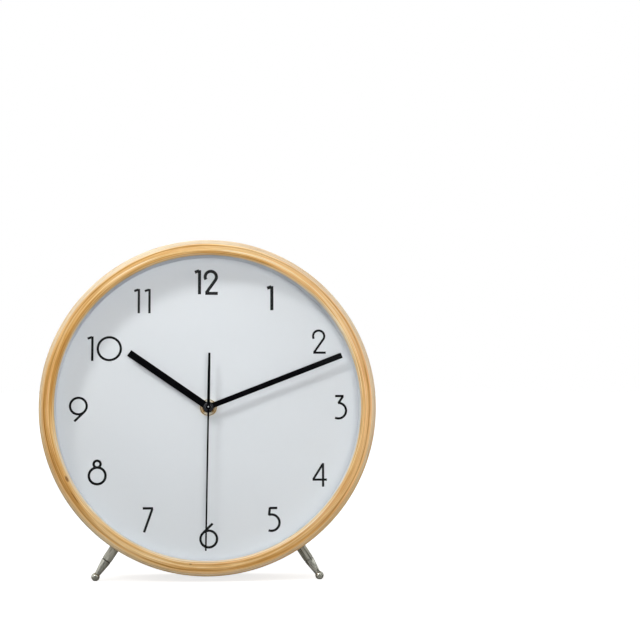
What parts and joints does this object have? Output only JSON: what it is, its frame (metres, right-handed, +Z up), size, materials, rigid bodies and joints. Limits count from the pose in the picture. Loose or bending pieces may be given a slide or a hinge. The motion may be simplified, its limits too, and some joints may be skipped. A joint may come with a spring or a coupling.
{
  "type": "table clock",
  "caption": "Round wooden table clock with a white dial, slim black hands, turned metal legs and a quartz movement with its gear train.",
  "frame": {"origin": "on the ground, under the middle of the clock's outline", "axes": "+Z up, -Y is the side that the dial faces, +X to the right of someone who looks at the dial"},
  "size_m": [0.2, 0.0612, 0.2025],
  "materials": {
    "rim_wood": "satin clear lacquer over bent light-wood veneers",
    "block_wood": "raw softwood",
    "fibreboard": "raw medium-density fibreboard",
    "clear_glass": "clear polished",
    "white_card": "matt white with printed black numbers",
    "white_plastic": "matt white",
    "black_gloss": "thin sheet, gloss black paint",
    "brass": "bright turned brass",
    "steel": "plain bright steel",
    "satin_nickel": "satin nickel plate",
    "black_plastic": "matt black",
    "smoke_plastic": "fine textured dark grey",
    "gear_plastic": "natural acetal",
    "black_rubber": "matt",
    "copper_wire": "enamelled copper wire",
    "magnet_grey": "sintered magnet",
    "green_laminate": "green lacquered laminate",
    "battery_foil": "plain printed foil sleeve"
  },
  "bodies": {
    "case": {"case_rim": "rim_wood", "front_glass": "clear_glass", "spacer_ring": "white_plastic", "dial_face": "white_card", "dial_board": "fibreboard", "rear_cover": "fibreboard", "cover_screw_1": "steel", "cover_screw_2": "steel", "cover_screw_3": "steel", "cover_screw_4": "steel", "mounting_block_1": "block_wood", "mounting_block_2": "block_wood", "mounting_block_3": "block_wood", "mounting_block_4": "block_wood", "leg_left_insert": "steel", "leg_right_insert": "steel", "leg_left_collar": "satin_nickel", "leg_right_collar": "satin_nickel", "leg_left_pin": "satin_nickel", "leg_right_pin": "satin_nickel", "threaded_bush": "brass", "bush_washer": "brass", "bush_nut": "brass", "rubber_gasket": "black_rubber", "movement_front_shell": "smoke_plastic", "movement_rear_shell": "smoke_plastic", "middle_plate": "white_plastic", "stator": "steel", "coil_core": "steel", "coil_bobbin": "white_plastic", "coil_winding": "copper_wire", "circuit_board": "green_laminate", "quartz_crystal": "steel", "chip_cap": "black_plastic", "contact_positive": "steel", "contact_negative": "steel"},
    "seconds": {"second_wheel": "steel", "second_hand": "black_gloss", "second_hand_hub": "black_gloss"},
    "fifth": {"fifth_wheel": "gear_plastic"},
    "rotor": {"rotor_arbor": "gear_plastic", "rotor_magnet": "magnet_grey"},
    "third": {"third_wheel": "gear_plastic"},
    "centre": {"centre_wheel": "gear_plastic"},
    "minutes": {"minute_pipe": "gear_plastic", "minute_hand": "black_gloss"},
    "motion_work": {"minute_wheel": "gear_plastic"},
    "hours": {"hour_wheel": "gear_plastic", "hour_hand": "black_gloss"},
    "knob": {"setting_knob": "black_plastic"},
    "cell": {"battery": "battery_foil"}
  },
  "joints": [
    {"name": "second_hand_turn", "type": "hinge", "parent": "case", "child": "seconds", "pos_m": [0, -0.01317, 0.10228], "axis": [0, 0.997, -0.0776], "continuous": true},
    {"name": "fifth_wheel_turn", "type": "hinge", "parent": "case", "child": "fifth", "pos_m": [-0.00359, 0.01008, 0.11036], "axis": [0, 0.997, -0.0776], "continuous": true},
    {"name": "rotor_turn", "type": "hinge", "parent": "case", "child": "rotor", "pos_m": [-0.00976, 0.00902, 0.11417], "axis": [0, 0.997, -0.0776], "continuous": true},
    {"name": "third_wheel_turn", "type": "hinge", "parent": "case", "child": "third", "pos_m": [-0.0102, 0.00662, 0.10074], "axis": [0, 0.997, -0.0776], "continuous": true},
    {"name": "centre_wheel_turn", "type": "hinge", "parent": "case", "child": "centre", "pos_m": [0, -0.01317, 0.10228], "axis": [0, 0.997, -0.0776], "continuous": true},
    {"name": "minute_hand_turn", "type": "hinge", "parent": "case", "child": "minutes", "pos_m": [0, -0.01317, 0.10228], "axis": [0, 0.997, -0.0776], "continuous": true},
    {"name": "minute_wheel_turn", "type": "hinge", "parent": "case", "child": "motion_work", "pos_m": [0.00594, 0.00294, 0.10698], "axis": [0, 0.997, -0.0776], "continuous": true},
    {"name": "hour_hand_turn", "type": "hinge", "parent": "case", "child": "hours", "pos_m": [0, -0.01317, 0.10228], "axis": [0, 0.997, -0.0776], "continuous": true},
    {"name": "setting_knob_turn", "type": "hinge", "parent": "case", "child": "knob", "pos_m": [0.01401, 0.00312, 0.10929], "axis": [0, 0.997, -0.0776], "continuous": true},
    {"name": "battery_slide", "type": "slide", "parent": "case", "child": "cell", "axis": [0, 0.997, -0.0776], "range_m": [0, 0.03]}
  ],
  "couplings": [
    {"joint": "fifth_wheel_turn", "follows": "second_hand_turn", "ratio": -6},
    {"joint": "rotor_turn", "follows": "second_hand_turn", "ratio": 30},
    {"joint": "third_wheel_turn", "follows": "second_hand_turn", "ratio": -0.13333},
    {"joint": "centre_wheel_turn", "follows": "second_hand_turn", "ratio": 0.016667},
    {"joint": "minute_wheel_turn", "follows": "minute_hand_turn", "ratio": -0.33333},
    {"joint": "hour_hand_turn", "follows": "minute_hand_turn", "ratio": 0.083333},
    {"joint": "setting_knob_turn", "follows": "minute_hand_turn", "ratio": 1}
  ]
}
